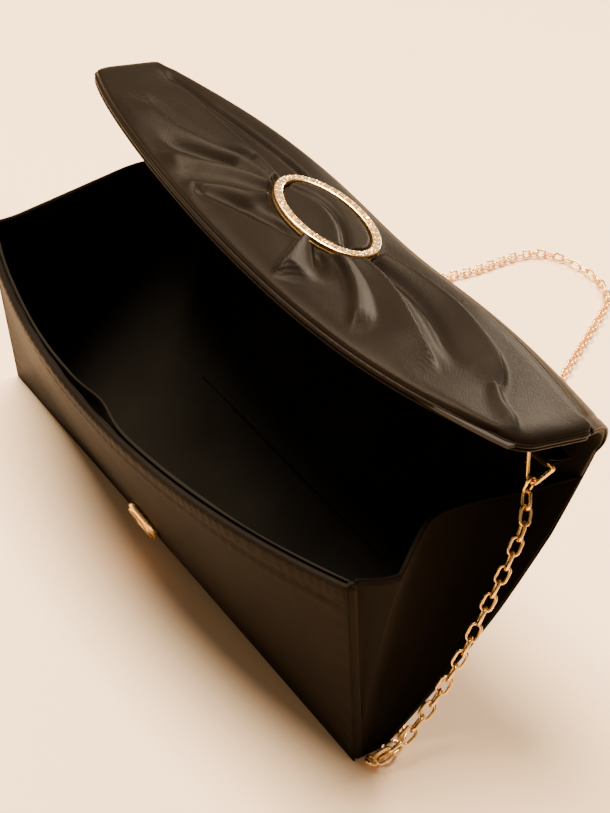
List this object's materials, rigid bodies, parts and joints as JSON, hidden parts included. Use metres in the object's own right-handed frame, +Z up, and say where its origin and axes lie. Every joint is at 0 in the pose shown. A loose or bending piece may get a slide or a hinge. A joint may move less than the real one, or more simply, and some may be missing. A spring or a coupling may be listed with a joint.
{
  "type": "evening clutch bag",
  "caption": "Satin evening clutch standing open on its base, with a gathered flap, an oval stone-set ring, a magnetic snap and a chain strap.",
  "frame": {"origin": "centre of the bag's footprint at the level it stands on", "axes": "+X along the bag's length, +Y towards the back panel and the flap's hinge, +Z up"},
  "size_m": [0.2739, 0.458, 0.1605],
  "materials": {
    "satin": "satin",
    "lining": "matte",
    "board": "matte",
    "gold": "polished",
    "stone": "polished",
    "chain": "polished"
  },
  "bodies": {
    "back": {"base_satin": "satin", "base_board": "board", "base_lining": "lining", "back_board": "board", "back_satin": "satin", "back_lining": "lining", "slip_pocket": "lining", "pocket_binding": "lining", "gusset_left": "satin", "gusset_right": "satin", "gusset_lining_left": "lining", "gusset_lining_right": "lining", "ring_tab_left": "satin", "ring_tab_right": "satin", "chain_right": "chain", "chain_floor": "chain", "chain_left": "chain"},
    "front": {"front_board": "board", "front_satin": "satin", "front_lining": "lining", "front_hem": "satin", "snap_socket": "gold"},
    "flap": {"flap_board": "board", "flap_satin": "satin", "flap_lining": "lining", "flap_binding": "satin", "spine_board": "board", "spine_satin": "satin", "spine_lining": "lining", "ring_ornament": "gold", "rhinestones": "stone", "ring_bar": "gold", "gather_band": "satin", "snap_plate": "gold", "snap_stud": "gold"},
    "ring_left": {"strap_ring_left": "gold"},
    "ring_right": {"strap_ring_right": "gold"}
  },
  "joints": [
    {"name": "front_fold", "type": "hinge", "parent": "back", "child": "front", "pos_m": [0, -0.007, 0.0012], "axis": [-1, 0, 0], "range_deg": [-0.5, 44], "deforming": ["gusset_left", "gusset_right", "gusset_lining_left", "gusset_lining_right"]},
    {"name": "flap_hinge", "type": "hinge", "parent": "back", "child": "flap", "pos_m": [0, 0.067, 0.1284], "axis": [1, 0, 0], "range_deg": [-150, 40]},
    {"name": "ring_left_swing", "type": "hinge", "parent": "back", "child": "ring_left", "pos_m": [-0.112, 0.047, 0.1215], "axis": [1, 0, 0], "range_deg": [-10, 10]},
    {"name": "ring_right_swing", "type": "hinge", "parent": "back", "child": "ring_right", "pos_m": [0.112, 0.047, 0.1215], "axis": [1, 0, 0], "range_deg": [-10, 10]}
  ]
}
